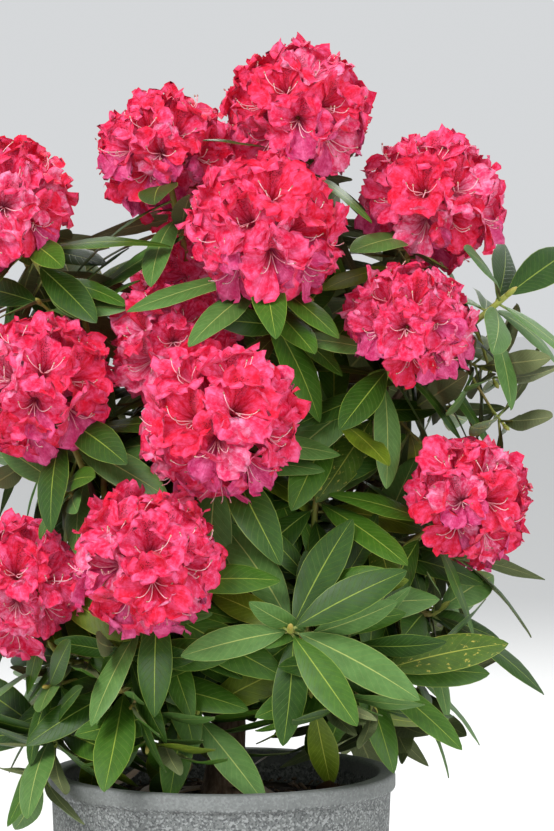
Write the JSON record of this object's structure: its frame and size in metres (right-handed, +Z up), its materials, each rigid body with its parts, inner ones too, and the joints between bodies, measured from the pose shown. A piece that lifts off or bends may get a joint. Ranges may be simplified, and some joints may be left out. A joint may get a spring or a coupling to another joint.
{
  "type": "rhododendron shrub in a planter",
  "caption": "Evergreen shrub with large leathery leaves and round heads of rose-red funnel flowers, growing in a round granite-look planter.",
  "frame": {"origin": "centre of the planter's underside", "axes": "+Z up along the plant, +X to the right and +Y away from the camera in the picture"},
  "size_m": [0.6761, 0.5395, 0.9939],
  "materials": {
    "granite_pot": "matte, finely speckled",
    "potting_soil": "rough, crumbly",
    "bark": "rough, fissured",
    "foliage_and_blossom": "leathery satin leaves, soft petals"
  },
  "bodies": {
    "root": {"bough_back": "bark", "bough_front_left": "bark", "bough_front_right": "bark", "bough_left": "bark", "bough_right": "bark", "branch_back_left": "bark", "branch_back_middle": "bark", "branch_back_right": "bark", "branch_foot_back": "bark", "branch_foot_back_left": "bark", "branch_foot_left": "bark", "branch_foot_right": "bark", "branch_front_left": "bark", "branch_front_low": "bark", "branch_left_high": "bark", "branch_left_low": "bark", "branch_middle": "bark", "branch_right_high": "bark", "branch_right_low": "bark", "branch_top": "bark", "branch_upper_left": "bark", "crown_back_left": "foliage_and_blossom", "crown_back_middle": "foliage_and_blossom", "crown_back_right": "foliage_and_blossom", "crown_foot_back": "foliage_and_blossom", "crown_foot_back_left": "foliage_and_blossom", "crown_foot_left": "foliage_and_blossom", "crown_foot_right": "foliage_and_blossom", "crown_front_left": "foliage_and_blossom", "crown_front_low": "foliage_and_blossom", "crown_left_high": "foliage_and_blossom", "crown_left_low": "foliage_and_blossom", "crown_middle": "foliage_and_blossom", "crown_right_high": "foliage_and_blossom", "crown_right_low": "foliage_and_blossom", "crown_top": "foliage_and_blossom", "crown_upper_left": "foliage_and_blossom", "planter": "granite_pot", "potting_soil": "potting_soil", "trunk": "bark"}
  },
  "joints": []
}
